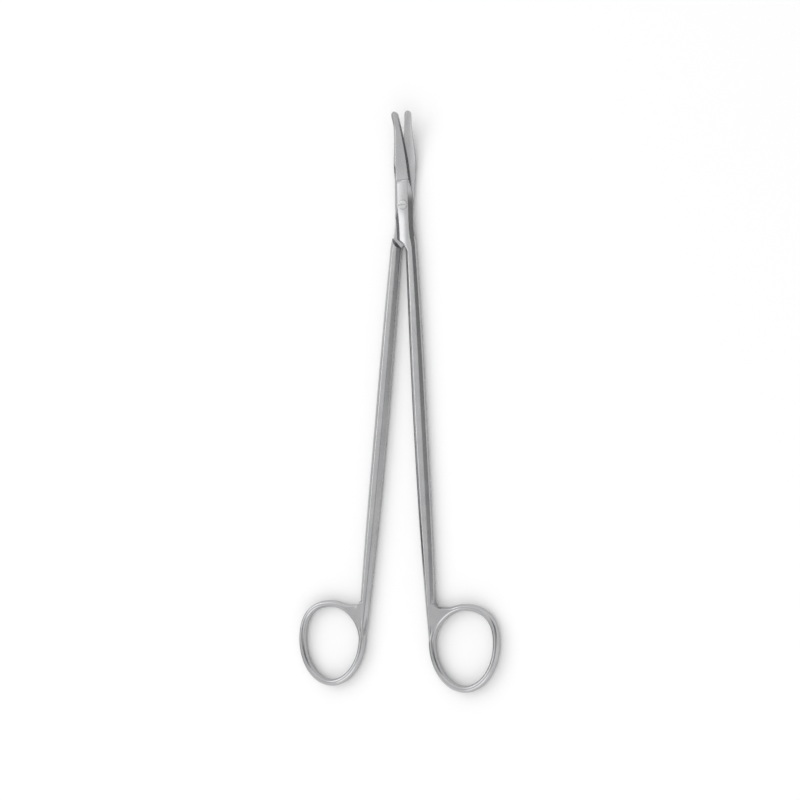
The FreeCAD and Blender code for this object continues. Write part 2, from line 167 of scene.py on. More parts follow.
class BladeSizes(PropertyGroup):
    """Curved blade."""
    reach: mm("Reach", 37.6, "Pivot to tip, straight")
    flat_radius: mm("Flat radius", 10.2, "The lap face is flat to here")
    curve_radius: mm("Curve radius", 73.0, "Radius of the upward curve beyond")
    edge_base: mm("Edge at the step", 2.95, "Centre line to the cutting edge")
    edge_tip: mm("Edge at the tip", 0.75, "Centre line to the cutting edge")
    belly: mm("Belly", 0.05, "Bulge of the cutting edge")
    tip_thickness: mm("Tip thickness", 0.9, "Thickness of the blade at its tip")
    edge_bevel: mm("Edge facet", 0.42, "Width of the steep facet above the edge")
    back_bevel: mm("Back bevel", 0.95, "Width of the bevel along the back")
    back_drop: mm("Back drop", 0.4, "Height of the bevel along the back")
    land: mm("Edge land", 0.5, "Flat strip along the edge on the lap face")
    hollow: mm("Hollow", 0.1, "Depth of the hollow in the lap face")
    tip_back: mm("Back at the tip", 2.15, "Centre line to the back")
    waist_back: mm("Back at the waist", 1.85, "Centre line to the back")
    waist_distance: mm("Waist distance", 5.6, "Slimmest place to the tip")
    cap_length: mm("Tip rounding", 1.35, "Length of the rounded tip")
    back_straight: mm("Straight back", 5.8, "The back runs straight for this length")
    sweep: share("Sweep softness", 0.45, "How softly the back's sweep starts and ends")
    edge_height: mm("Edge height", 0.05, "Height of the honed strip on the edge")


class ShankSizes(PropertyGroup):
    """Octagonal shank."""
    gap: mm("Gap", 0.3, "Between the two shanks when closed")
    width_joint: mm("Width at the joint", 4.4, "Width just below the joint")
    width_middle: mm("Width in the middle", 5.3, "Width at the widest place")
    width_ring: mm("Width at the ring", 3.9, "Width just above the ring")
    thickness_ring: mm("Thickness at the ring", 3.98, "Thickness just above the ring")
    bevel_share: share("Bevel share", 0.3, "Share of the width that each bevel takes")
    bevel_height: mm("Bevel height", 1.2, "Height of each bevel")
    inner_height: mm("Inner bevel height", 0.7, "Height of the upper inner bevel")
    bow: mm("Bow", 2.4, "How far the shank swings out just above the ring")
    bow_power: number("Bow power", 2.5, "How late the shank swings out")
    start: mm("Start", 20.0, "Pivot to where the shank has its full section")
    middle: mm("Middle", 78.0, "Pivot to its widest place")
    tail_width: mm("Tail width", 2.3, "Width of the last section, in the ring's side")
    tail_bevel: mm("Tail bevel", 0.95, "Bevel of the last section")
    tail_side: mm("Tail side", 0.4, "Upright side of the last section")
    softness: mm("Edge softness", 0.2, "Rounding of the ends' edges")
    ridge: mm("Ridge radius", 0.8, "Rounding of the long edges")


class RingSizes(PropertyGroup):
    """Egg-shaped finger ring with its web and bridge."""
    level: mm("Level", 173.9, "Pivot to the widest level")
    side_gap: mm("Side gap", 3.3, "Centre line to the ring's side")
    half_width: mm("Half width", 13.1, "Middle to the stock's centre line")
    upper: mm("Upper height", 13.4, "Widest level to the top")
    lower: mm("Lower height", 17.4, "Widest level to the bottom")
    fullness: number("Fullness", 2.4, "Exponent of the upper outer quarter")
    root_fullness: number("Root fullness", 1.8, "Exponent of the upper inner quarter")
    stock: mm("Stock", 2.75, "Across the stock in the ring's plane")
    depth: mm("Depth", 4.12, "Along the finger")
    lean: angle("Lean", 2.0, "Lean of the long axis to the closed centre line")
    root: mm("Root", 16.9, "Widest level to where the shank starts to merge")
    slope: angle("Bridge slope", 6.0, "Fall of the bridge to the shank")
    bridge: mm("Bridge", 2.7, "Across the bridge in the ring's plane")
    web: mm("Web", 3.94, "Thickness of the web")
    cove: mm("Cove", 1.6, "Radius of the inside corner at the shank")


class ScrewSizes(PropertyGroup):
    """Slotted flush screw."""
    shank: mm("Shank", 2.4, "Diameter of the shank")
    head: mm("Head", 3.7, "Diameter of the head")
    head_height: mm("Head height", 1.05, "Height of the head")
    slot_width: mm("Slot width", 0.45, "Width of the slot")
    slot_depth: mm("Slot depth", 0.4, "Depth of the slot")
    clearance: mm("Running clearance", 0.03, "Radial gap in the front half")
    thread_clearance: mm("Thread clearance", 0.01, "Radial gap in the back half")
    softness: mm("Edge softness", 0.16, "Rounding of the head's rim")
    countersink: mm("Countersink", 0.14, "Chamfer round the head's seat")


class Finishes(PropertyGroup):
    """Colours and gloss."""
    steel: colour("Steel", "#BDBDBE", "Ground stainless steel")
    steel_dull: colour("Dull steel", "#A9A9AB", "The steel where the grinding is coarser")
    screw: colour("Screw", "#C6C6C7", "Turned stainless steel of the screw")
    floor: colour("Floor", "#FBFBFB", "Pale table")
    shank_gloss: share("Shank roughness", 0.27, "Roughness of the satin-ground faces")
    ring_gloss: share("Ring roughness", 0.21, "Roughness of the buffed rings")
    screw_gloss: share("Screw roughness", 0.3, "Roughness of the turned screw")


class StageSizes(PropertyGroup):
    """Camera and light."""
    azimuth: angle("Azimuth", 23.645, "Camera's turn to the right of straight above")
    elevation: angle("Elevation", -6.168, "Camera's tilt towards the tips")
    roll: angle("Roll", -0.983, "Camera's roll")
    distance: mm("Distance", 606.13, "Camera to the pivot")
    scale: mm("Scale", 0.40165, "Size of one pixel at the pivot")
    pivot_column: number("Pivot column", 404.586, "Image column of the pivot, in pixels")
    pivot_row: number("Pivot row", 205.82, "Image row of the pivot, in pixels")
    sky: number("Sky", 1.34, "Brightness of the tent")
    sky_right: number("Sky right", 0.24, "Brightness of the tent to the right")
    sky_left: number("Sky left", 0.06, "Brightness of the tent low on the left")
    sky_above: number("Sky above", 1.05, "Brightness of the tent that the flats reflect")
    sky_camera: number("Sky at the camera", 0.3, "Brightness of the tent round the camera")
    key: number("Key", 3.4, "Power of the large panel on the left")
    fill: number("Fill", 2.0, "Power of the panel beyond the rings")


# Shapes in the closed drawing: pivot at the origin, lap face at z = 0, +Y to the tip, the
# blade's back to the left and the shank to the right. The back half is the same drawing turned
# half a turn about Y, and its blade curves the same way up.

def blend(start, end, part):
    """start + (end - start) * part, with the part kept between 0 and 1."""
    return start + (end - start) * np.clip(part, 0.0, 1.0)


def eased(part):
    """3 p^2 - 2 p^3, which starts and ends level."""
    part = np.clip(part, 0.0, 1.0)
    return part * part * (3 - 2 * part)


def onward(start, end, count):
    """Even places from just after the start to the end."""
    return np.linspace(start, end, count + 1)[1:]


def rounded_outline(corners, radii, between, steps=4):
    """Closed outlines, one for each row of corners. Each corner is drawn as a circular arc of
    its radius, a rational quadratic curve with the corner as its middle point and the sine of
    half the corner's angle as its weight. between gives how many even points each straight
    stretch gets."""
    before = np.roll(corners, 1, axis=1) - corners
    after = np.roll(corners, -1, axis=1) - corners
    length_before = np.linalg.norm(before, axis=2, keepdims=True)
    length_after = np.linalg.norm(after, axis=2, keepdims=True)
    # least length of a stretch, and bounds of a corner's cosine
    shortest, limit = 1e-9, 0.9999
    before = before / np.maximum(length_before, shortest)
    after = after / np.maximum(length_after, shortest)
    cosine = np.clip((before * after).sum(axis=2, keepdims=True), -limit, limit)
    half = np.arccos(cosine) / 2
    # share of a stretch that each of its two arcs may take
    arc_share = 0.45
    room = arc_share * np.minimum(length_before, length_after)
    reach = np.minimum(radii[..., None] / np.tan(half), room)
    start = corners + before * reach
    end = corners + after * reach
    weight = np.sin(half)
    parts = []
    for corner, count in enumerate(between):
        t = np.linspace(0, 1, steps)[None, :, None]
        middle = 2 * t * (1 - t) * weight[:, corner, None]
        first = (1 - t) ** 2
        arc = first * start[:, corner, None] + middle * corners[:, corner, None]
        arc = arc + t ** 2 * end[:, corner, None]
        parts.append(arc / (first + middle + t ** 2))
        following = (corner + 1) % len(between)
        t = (np.arange(count) + 1)[None, :, None] / (count + 1)
        parts.append(end[:, corner, None] * (1 - t) + start[:, following, None] * t)
    return np.concatenate(parts, axis=1)


def tube_faces(rows, columns, closed):
    """Quads between neighbouring rows of closed outlines; a closed tube joins its last row to
    its first, an open one gets a cap at each end."""
    row = np.arange(rows if closed else rows - 1)[:, None]
    column = np.arange(columns)[None, :]
    here = row * columns
    there = (row + 1) % rows * columns
    beside = (column + 1) % columns
    quads = np.stack([here + column, there + column, there + beside, here + beside], axis=-1)
    faces = quads.reshape(-1, 4).tolist()
    if not closed:
        faces.append(np.arange(columns).tolist())
        faces.append((np.arange(columns) + (rows - 1) * columns)[::-1].tolist())
    return faces


def mesh_object(name, points, faces):
    """An object from points in metres, with its faces turned outwards."""
    mesh = bpy.data.meshes.new(name)
    mesh.from_pydata(points.reshape(-1, 3).tolist(), [], faces)
    mesh.validate()
    made = bpy.data.objects.new(name, mesh)
    bpy.context.scene.collection.objects.link(made)
    mesh.calc_loop_triangles()
    corners = np.empty(3 * len(mesh.loop_triangles), dtype=np.int32)
    mesh.loop_triangles.foreach_get("vertices", corners)
    places = points.reshape(-1, 3)[corners.reshape(-1, 3)]
    volume = np.einsum("ij,ij->i", places[:, 0], np.cross(places[:, 1], places[:, 2])).sum()
    if volume < 0:
        mesh.flip_normals()
    return made


def tube(name, points, closed=False):
    """Object whose rows of points are closed outlines."""
    return mesh_object(name, points, tube_faces(*points.shape[:2], closed))


def put_in_place(points, side, joint):
    """From the closed drawing to the resting pose: turned by half the opening and lifted."""
    turn = side * joint.opening / 2
    x = points[..., 0] * math.cos(turn) - points[..., 1] * math.sin(turn)
    y = points[..., 0] * math.sin(turn) + points[..., 1] * math.cos(turn)
    return np.stack([x, y, points[..., 2] + PIVOT[2]], axis=-1)


# Long body of a half: blade, joint and shank

def lap_rise(distance, blade):
    """Height of the curved lap face: R - sqrt(R^2 - d^2), d counted from the flat's edge."""
    beyond = np.maximum(distance - blade.flat_radius, 0.0)
    return blade.curve_radius - np.sqrt(blade.curve_radius ** 2 - beyond ** 2)


def blade_base(joint):
    return joint.step_distance + joint.step_depth


def blade_part(y, joint, blade):
    """How far along the blade, 0 at its base and 1 at its tip."""
    return (y - blade_base(joint)) / (blade.reach - blade_base(joint))


def cutting_edge(y, joint, blade):
    """Straight line from base to tip plus a parabola for the belly."""
    part = blade_part(y, joint, blade)
    straight = blade.edge_base + (blade.edge_tip - blade.edge_base) * part
    return straight + blade.belly * 4 * part * (1 - part)


def blade_back(y, joint, blade):
    """Straight, then a sweep that is part line and part eased, then a line out to the tip."""
    waist = blade.reach - blade.waist_distance
    straight = blade_base(joint) + blade.back_straight
    part = np.clip((y - straight) / (waist - straight), 0, 1)
    sweep = blend(part, eased(part), blade.sweep)
    width = joint.back_width + (blade.waist_back - joint.back_width) * sweep
    flare = blade.tip_back - blade.waist_back
    return width + blend(0, flare, (y - waist) / blade.waist_distance)


def joint_back(y, joint):
    """Side of the joint that carries the back: in to its width at the step."""
    return blend(joint.half_width, joint.back_width, np.abs(y) / blade_base(joint))


def outer_side(y, joint, blade, shank):
    """Side that carries the shank: in to the edge above the pivot, slim below, then flaring."""
    above = blend(joint.half_width, blade.edge_base, y / blade_base(joint))
    full = shank.gap / 2 + shank.width_joint
    waist = joint.half_width - joint.waist * eased(-y / joint.flare_start)
    below = blend(waist, full, eased((-y - joint.flare_start) / joint.flare_length))
    return np.where(y >= 0, above, below)


def outer_bevel(y, joint, blade, shank):
    """Width of the bevel on the shank's side and the height where it starts."""
    half = joint.thickness / 2
    facet = blade.edge_bevel * half / (half - joint.step_depth)
    up = y / blade_base(joint)
    down = -y / shank.start
    width = np.where(y >= 0, blend(joint.bevel, facet, up),
                     blend(joint.bevel, shank.bevel_share * shank.width_joint, down))
    height = np.where(y >= 0, blend(joint.side_height, blade.edge_height, up),
                      blend(joint.side_height, half - shank.bevel_height, down))
    return width, height


def shank_end(ring):
    return ring.level - ring.root


def shank_inner(y, shank, ring):
    """Inner side of the shank: a power curve above the ring, and its tangent beside it."""
    run = shank_end(ring) - shank.start
    part = np.clip((-y - shank.start) / run, 0, 1)
    slope = shank.bow * shank.bow_power / run
    past = np.maximum(-y - shank_end(ring), 0)
    return shank.gap / 2 + shank.bow * part ** shank.bow_power + slope * past


def shank_section(y, joint, blade, shank, ring):
    """Width, half thickness, bevel width and bevel height of the octagon along the shank."""
    distance = -y
    upper = np.clip((shank.middle - distance) / (shank.middle - shank.start), 0, 1)
    lower = np.clip((distance - shank.middle) / (shank_end(ring) - shank.middle), 0, 1)
    tail = np.clip((distance - shank_end(ring)) / ring.root, 0, 1)
    width = shank.width_middle - (shank.width_middle - shank.width_joint) * upper ** 2
    width = width - (shank.width_middle - shank.width_ring) * lower ** 3
    bevel = blend(shank.bevel_share * width, shank.tail_bevel, tail)
    width = blend(width, shank.tail_width, tail)
    part = (distance - shank.start) / (shank_end(ring) - shank.start)
    half = blend(joint.thickness, shank.thickness_ring, part) / 2
    height = blend(shank.bevel_height, (shank.thickness_ring - shank.tail_side) / 2, tail)
    in_joint = distance < shank.start
    neck_bevel, neck_side = outer_bevel(y, joint, blade, shank)
    neck_width = outer_side(y, joint, blade, shank) - shank.gap / 2
    width = np.where(in_joint, neck_width, width)
    bevel = np.where(in_joint, neck_bevel, bevel)
    height = np.where(in_joint, half - neck_side, height)
    return width, half, bevel, height


def lap_end(joint):
    """Distance from the pivot to where the lap end's 45-degree line meets the middle."""
    return (joint.shoulder - joint.shoulder_clearance) * ROOT_2


def body_rows(joint, blade, shank, ring):
    """Rows of the long body from the tip to the ring: where each row crosses the closed centre
    line, how far it is sheared towards the shoulder's 45 degrees, how much of the tip's width
    is left, and whether it has the half's full thickness."""
    rows = BODY_ROWS
    # the last row stops just short of the very tip, and so keeps some width
    tip_degrees = 87
    # rows start to turn this many thicknesses below the pivot, and end this many shank starts
    # below the shoulder's foot
    turning_start, turning_back = 1.2, 0.75
    tip_start = blade.reach - blade.cap_length
    turn = np.radians(np.linspace(tip_degrees, 0, rows["cap"] + 1))[:-1]
    base, step = blade_base(joint), joint.step_distance
    soft = joint.softness / 2
    shear_start = -joint.thickness * turning_start
    foot = -joint.shoulder * ROOT_2
    run = shear_start - foot
    corner = joint.back_width - lap_end(joint) + joint.back_width * shear_start / run
    corner = corner / (1 + joint.back_width / run)
    square = foot - turning_back * shank.start
    upper = np.concatenate([
        tip_start + blade.cap_length * np.sin(turn),
        np.linspace(tip_start, base + soft, rows["blade"]),
        [base, step + soft, step, step - soft],
        np.linspace(step - 4 * soft, 0, rows["joint"]),
        onward(0, shear_start, rows["screw"]),
        onward(shear_start, corner, rows["lap"]),
        onward(corner, foot, rows["lap_end"]),
    ])
    lower = np.concatenate([
        np.linspace(foot, square, rows["shoulder"]),
        onward(square, -shank_end(ring), rows["shank"]),
        onward(-shank_end(ring), -ring.level, rows["tail"]),
    ])
    place = np.concatenate([upper, lower])
    full = np.arange(len(place)) >= len(upper)
    shear = np.where(full, 1 - eased((foot - place) / (foot - square)),
                     np.clip((shear_start - place) / run, 0, 1))
    # the tip's outline is half an ellipse
    left_width = np.ones(len(place))
    left_width[:len(turn)] = np.cos(turn)
    return place, shear, left_width, full


def body_corners(joint, blade, shank, ring):
    """Eight corners of each row, with the radius of each. A row is a straight cut across the
    half: y = place + shear * x, so that the rows turn with the 45-degree shoulder."""
    place, shear, left_width, full = body_rows(joint, blade, shank, ring)
    half, base = joint.thickness / 2, blade_base(joint)
    # least width and height that a bevel keeps, and how far the step's edge is rounded off
    least, step_round = joint.softness / 3, joint.softness / 5
    # the back's bevel is this much higher at the blade's base, over this share of the blade
    base_height, base_share = 2, 0.25
    # share of the shank over which the inner bevel grows, and of its height that the tip rolls
    ring_share, tip_roll = 0.25, 0.35
    x_left = -joint.back_width * np.ones(len(place))
    x_right = joint.half_width * np.ones(len(place))
    for _ in range(SETTLING_PASSES):
        y_left = place + shear * x_left
        y_right = place + shear * x_right
        back = np.where(y_left > base, blade_back(y_left, joint, blade),
                        joint_back(y_left, joint))
        end = -(place + lap_end(joint)) / (1 + shear)
        x_left = np.minimum(np.maximum(-back, end), shank_inner(y_left, shank, ring))
        width, thick, bevel, height = shank_section(y_right, joint, blade, shank, ring)
        x_right = np.where(y_right > base, cutting_edge(y_right, joint, blade),
                           shank_inner(y_right, shank, ring) + width)
    in_blade = np.clip((y_right - joint.step_distance) / joint.step_depth, 0, 1)
    blade_top = blend(half - joint.step_depth, blade.tip_thickness,
                      blade_part(y_right, joint, blade))
    top = np.where(full, thick, blend(half, blade_top, in_blade))
    top = top - step_round * (np.abs(place - joint.step_distance) < joint.softness / 8)
    # upper left: the back's bevel, cut short where the lap ends at 45 degrees
    drop = blend(blade.back_drop * base_height, blade.back_drop,
                 blade_part(y_left, joint, blade) / base_share)
    left_bevel = blend(joint.bevel, blade.back_bevel, in_blade)
    left_side = blend(joint.side_height, blade_top - drop, in_blade)
    cut = (x_left + back) / left_bevel
    drop = blend(least, joint.chamfer_drop, cut)
    run = blend(least, joint.chamfer / ROOT_2, cut)
    left_height = np.minimum(left_side + np.maximum(cut, 0) * (top - left_side), top - drop)
    left_flat = np.maximum(-back + left_bevel, x_left + run)
    full_flat = np.minimum(np.maximum(end, x_left + least), x_left + bevel)
    along = (-y_left - shank.start) / (shank_end(ring) - shank.start)
    near_ring = eased((along - 1 + ring_share) / ring_share)
    inner_height = shank.inner_height + (height - shank.inner_height) * near_ring
    left_height = np.where(full, top - inner_height, left_height)
    left_flat = np.where(full, full_flat, left_flat)
    # upper right: the cutting edge's facet, the joint's bevel or the shank's
    edge_run = blade.edge_bevel * blade.edge_height / blade_top
    right_flat = blend(x_right - bevel, x_right - blade.edge_bevel, in_blade)
    right_top = blend(x_right, x_right - edge_run, in_blade)
    right_height = blend(top - height, blade.edge_height, in_blade)
    # lower side: the lap face, or the shank's underside
    floor = np.where(full, -top, joint.clearance)
    low = np.where(full, -(top - height), joint.clearance)
    low_right = blend(x_right - bevel, x_right - blade.land, in_blade)
    low_left = blend(x_left + bevel, x_left + blade.land / 2, in_blade)
    xs = np.stack([x_left, x_left, left_flat, right_flat, right_top, x_right, low_right,
                   low_left], axis=1)
    zs = np.stack([low, left_height, top, top, right_height, low, floor, floor], axis=1)
    # the tip's top rolls over
    middle = ((x_left + x_right) / 2)[:, None]
    xs = middle + (xs - middle) * left_width[:, None]
    roll = (1 - np.sqrt(left_width))[:, None] * tip_roll
    zs = np.where(zs > joint.clearance, zs * (1 - roll), zs)
    lean = ROOT_2 * joint.setback / half
    ys = place[:, None] + shear[:, None] * xs
    ys = ys + lean * shear[:, None] * full[:, None] * np.minimum(zs, 0)
    soft = np.where(full, shank.ridge, joint.softness)
    edge = blend(soft, blade.edge_height / 3, in_blade)
    lap = np.where(full, shank.ridge, joint.clearance)
    radii = np.stack([lap, soft, soft, blend(soft, soft / 2, in_blade), edge, lap,
                      soft * full, soft * full], axis=1)
    radii = np.maximum(radii, joint.clearance / 4)
    return np.stack([xs, ys, zs], axis=2), radii


def crown(x, y, z, joint, shank, ring):
    """How much the upper face lies below its plane: a parabola across the face, from nothing
    at a line right of the middle to the full fall at the left ridge. The bevel under the
    ridge follows in proportion to its height. The joint's fall grows below the screw and ends
    at the shoulder's foot, where the shank's slighter one begins."""
    foot = -joint.shoulder * ROOT_2
    joint_end, joint_fade = 0.9 * foot, shank.start / 4
    ridge = joint_back(y, joint) - joint.bevel
    part = np.clip((joint.crown_start - x) / (joint.crown_start + ridge), 0, 1)
    fall = blend(joint.crown_above, joint.crown, eased(-y / (joint.shoulder / 2)))
    fall = fall * eased((joint.step_distance - y) / joint.softness)
    fall = fall * part ** 2 * (1 - eased((joint_end - y) / joint_fade))
    across = (shank_inner(y, shank, ring) + shank.width_joint - x) / shank.width_joint
    low = eased((foot - y) / (shank.start / 2)) * (1 - eased((2 * foot - y) / shank.start))
    fall = fall + joint.shank_crown * low * np.clip(across, 0, 1) ** 2
    return fall * np.clip((z - joint.side_height) / (joint.thickness / 2 - joint.side_height),
                          0, 1)


def body_surface(side, joint, blade, shank, ring):
    """Long body as rows of rounded outlines. Heights count from the lap face, which follows
    lap_rise of the distance to the pivot; the blade's lap face is hollowed by a sine arch."""
    corners, radii = body_corners(joint, blade, shank, ring)
    # even points on the left side, left bevel, flat, facet, edge, bevel, underside and bevel
    between = (0, 4, 9, 0, 0, 1, 7, 1)
    lap_top = 1.01 * joint.clearance
    points = rounded_outline(corners, radii, between)
    x, y, z = points[..., 0], points[..., 1], points[..., 2]
    z = z - crown(x, y, z, joint, shank, ring)
    edge = cutting_edge(y, joint, blade) - blade.land
    back = blade_back(y, joint, blade)
    across = np.clip((edge - x) / (edge + back), 0, 1)
    start = blade_base(joint) + blade.back_straight / 2
    hollow = blade.hollow * np.sin(np.pi * across) * eased((y - start) / blade.back_straight)
    z = z + np.where((z < lap_top) & (y > 0), hollow, 0)
    near = np.where(y > 0, np.hypot(x, y), 0)
    rise = blend(lap_rise(near, blade), lap_rise(np.maximum(y, 0), blade),
                 z / blade.tip_thickness)
    return np.stack([side * x, y, rise + side * z], axis=-1)


# Finger ring with web and bridge

def ring_line(degrees, ring):
    """Centre line of the stock: an ellipse whose two upper quarters are superellipses,
    u = a |cos t|^(2/n), v = b |sin t|^(2/n), leaning to the closed centre line."""
    t = np.radians(degrees)
    cosine, sine = np.cos(t), np.sin(t)
    power = np.where(sine > 0, np.where(cosine > 0, ring.fullness, ring.root_fullness), 2.0)
    height = np.where(sine > 0, ring.upper, ring.lower)
    u = ring.half_width * np.sign(cosine) * np.abs(cosine) ** (2 / power)
    v = height * np.sign(sine) * np.abs(sine) ** (2 / power)
    x = ring.side_gap + ring.stock / 2 + ring.half_width
    x = x + u * math.cos(ring.lean) + v * math.sin(ring.lean)
    y = -ring.level - u * math.sin(ring.lean) + v * math.cos(ring.lean)
    return np.stack([x, y], axis=-1)


def outward(degrees, ring):
    """Unit normal of the centre line, pointing away from the hole."""
    step = 0.5
    along = ring_line(degrees + step, ring) - ring_line(degrees - step, ring)
    along = along / np.linalg.norm(along, axis=-1, keepdims=True)
    return np.stack([along[..., 1], -along[..., 0]], axis=-1)


def root_border(shank, ring):
    """Where the root's outer border turns: under the shank's flat, at the centre of the cove,
    and at the level of the bridge's upper edge below that centre."""
    start = ring_line(np.array(ROOT_MARKS[0]), ring)
    inner = shank.gap / 2 + shank.bow
    slope = ring.slope - ring.lean
    cove_x = inner + shank.width_ring + ring.cove
    upper_edge = start[1] + ring.bridge / 2 / math.cos(slope)
    edge_y = upper_edge - (start[0] - cove_x) * math.tan(slope)
    return inner + under_flat(shank), cove_x, edge_y


def under_flat(shank):
    """How far the root's border lies inside the shank's inner side."""
    return 1.4 * shank.tail_bevel


def ring_surface(side, shank, ring):
    """Ring as a closed tube round its centre line. Its section is an ellipse, which at the
    root is drawn out to a bevelled plate that reaches the shank."""
    # where the border turns back to the ring, the bevel's share lost in the shank, and the
    # least share of a section that stays flat
    turning_back, bevel_lost, least_flat = 0.55, 0.85, 0.1
    # the rounded outline's points at the upper and lower crest, and points on the inside
    crest, lower_crest, inside = 3, 23, 20
    left_x, cove_x, edge_y = root_border(shank, ring)
    marks, counts = ROOT_MARKS, ROOT_ROWS
    rim = np.linspace(marks[-1] - 360, marks[0], RIM_ROWS + 1)[:-1]
    root = [np.linspace(a, b, n + 1)[:-1] for a, b, n in zip(marks, marks[1:], counts)]
    degrees = np.concatenate([rim] + root)
    centre = ring_line(degrees, ring)
    normal = outward(degrees, ring)
    w, level = ring.stock / 2, ring.web / 2
    # border of the root, from the ring's own outer side and back to it
    along = [np.linspace(0, 1, n + 1)[:-1] for n in counts]
    from_ring = ring_line(np.array(marks[0]), ring) + outward(np.array(marks[0]), ring) * w
    cove_start = np.array([cove_x, edge_y])
    bridge = from_ring + (cove_start - from_ring) * along[0][:, None]
    turn = np.radians(270 - 90 * along[1])
    cove = np.stack([cove_x + ring.cove * np.cos(turn),
                     edge_y + ring.cove * (1 + np.sin(turn))], axis=1)
    cove_end = np.array([cove_x - ring.cove, edge_y + ring.cove])
    hidden = np.array([left_x, edge_y + ring.cove])
    inward = cove_end + (hidden - cove_end) * along[2][:, None]
    own = (centre + normal * w)[-counts[3]:]
    fall_back = eased((along[3] - turning_back) / (1 - turning_back))[:, None]
    down = np.stack([shank_inner(own[:, 1], shank, ring) + under_flat(shank),
                     own[:, 1] + (hidden[1] - own[:, 1]) * (1 - along[3])], axis=1)
    down = down + (own - down) * fall_back
    border = np.concatenate([centre[:len(rim)] + normal[:len(rim)] * w, bridge, cove, inward,
                             down])
    reach = border - centre
    extent = np.linalg.norm(reach, axis=1)
    reach = reach / extent[:, None]
    # how much of a plate each section is
    plate = np.concatenate([np.zeros(len(rim)), eased(along[0]),
                            np.ones(counts[1] + counts[2]), 1 - fall_back[:, 0]])
    d = ring.depth / 2 + (level - ring.depth / 2) * plate
    covered = np.concatenate([np.zeros(len(rim) + counts[0] + counts[1]), eased(along[2]),
                              1 - fall_back[:, 0]])
    bevel = shank.bevel_share * shank.width_ring * (1 - bevel_lost * covered)
    side_height = shank.thickness_ring / 2 - shank.bevel_height
    zero = np.zeros(len(degrees))
    flat = np.maximum(extent - bevel, least_flat * extent)
    corner_x = np.stack([zero, flat, extent, extent, flat, zero, -extent], axis=1)
    corner_z = np.stack([d, zero + level, zero + side_height, zero - side_height,
                         zero - level, -d, zero], axis=1)
    corners = np.stack([corner_x, corner_z], axis=2)
    soft = np.full(corner_x.shape, 2 * shank.softness)
    plate_points = rounded_outline(corners, soft, (1, 0, 1, 0, 1, 0, 0))
    plate_points = plate_points[:, crest:lower_crest + 1]
    turn = np.radians(np.linspace(90, -90, plate_points.shape[1]))
    plate = plate[:, None, None]
    oval = np.stack([w * np.cos(turn) + zero[:, None], d[:, None] * np.sin(turn)], axis=2)
    section = oval * (1 - plate) + plate_points * plate
    turn = np.radians(np.linspace(-90, -270, inside + 2)[1:-1])
    outer = centre[:, None] + reach[:, None] * section[..., :1]
    inner = centre[:, None] + normal[:, None] * (w * np.cos(turn))[:, None]
    plan = np.concatenate([outer, inner], axis=1)
    height = np.concatenate([section[..., 1], d[:, None] * np.sin(turn)], axis=1)
    return np.stack([side * plan[..., 0], plan[..., 1], side * height], axis=-1)


# Screw

def screw_profile(joint, screw):
    """Radius and height from near the axis under the stem to near the axis on the head, whose
    rim is a quarter circle and whose top is flat."""
    near_axis, halfway = 0.02, 0.5
    half = joint.thickness / 2
    stem, head = screw.shank / 2, screw.head / 2
    seat = half - screw.head_height
    soft = screw.softness
    turn = np.radians(np.linspace(0, 90, 6))
    rim = np.stack([head - soft + soft * np.cos(turn), half - soft + soft * np.sin(turn)],
                   axis=1)
    lower = np.array([[stem * near_axis, -half], [stem - soft, -half], [stem, -half + soft],
                      [stem, seat], [head, seat]])
    upper = np.array([[head * halfway, half], [head * near_axis, half]])
    return np.concatenate([lower, rim, upper])


def turned(name, profile, sides=96):
    """Object turned about the pivot axis from a profile of radius and height."""
    turn = np.linspace(0, 2 * np.pi, sides, endpoint=False)[None, :]
    radius = profile[:, 0][:, None]
    height = profile[:, 1][:, None] + 0 * turn + PIVOT[2]
    points = np.stack([radius * np.cos(turn), radius * np.sin(turn), height], axis=-1)
    return tube(name, points)


def cuboid(name, low, high):
    """Box between two corners, as a cutting tool."""
    x, y = np.array([low[0], high[0]]), np.array([low[1], high[1]])
    ring = np.array([[x[0], y[0]], [x[1], y[0]], [x[1], y[1]], [x[0], y[1]]])
    points = np.stack([np.c_[ring, np.full(4, low[2])], np.c_[ring, np.full(4, high[2])]])
    return tube(name, points)


def combined(target, tool, operation):
    """Target with the tool joined to it or cut out of it; the tool is used up."""
    step = target.modifiers.new("step", "BOOLEAN")
    step.operation = operation
    step.solver = "EXACT"
    step.object = tool
    evaluated = target.evaluated_get(bpy.context.evaluated_depsgraph_get())
    mesh = bpy.data.meshes.new_from_object(evaluated)
    target.modifiers.clear()
    old = target.data
    target.data = mesh
    mesh.name = target.name
    bpy.data.meshes.remove(old)
    bpy.data.objects.remove(tool)


def finish_piece(piece, body, node, slot):
    """Shading, finish and place in the frame. Faces that meet at less than the sharp angle
    shade as one surface, and large faces rule the normals, so that ground flats stay flat."""
    steel = STEELS[slot]
    material = (bpy.data.materials.get(steel.__name__)
                or steel(bpy.context.scene.scissors_finish))
    mesh = piece.data
    mesh.materials.clear()
    mesh.materials.append(material)
    mesh.polygons.foreach_set("use_smooth", np.ones(len(mesh.polygons), dtype=bool))
    mesh.set_sharp_from_angle(angle=SHARP_ANGLE)
    weight = piece.modifiers.new("flats", "WEIGHTED_NORMAL")
    weight.keep_sharp = True
    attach(piece, body)
    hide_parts(node)


# Materials

def add_node(tree, kind, settings=(), links=()):
    """Adds a shader node. settings are (input or property, value) pairs, links (input, socket)."""
    node = tree.nodes.new("ShaderNode" + kind)
    for name, value in settings:
        if isinstance(name, str) and hasattr(node, name):
            setattr(node, name, value)
        else:
            node.inputs[name].default_value = value
    for name, socket in links:
        tree.links.new(socket, node.inputs[name])
    return node


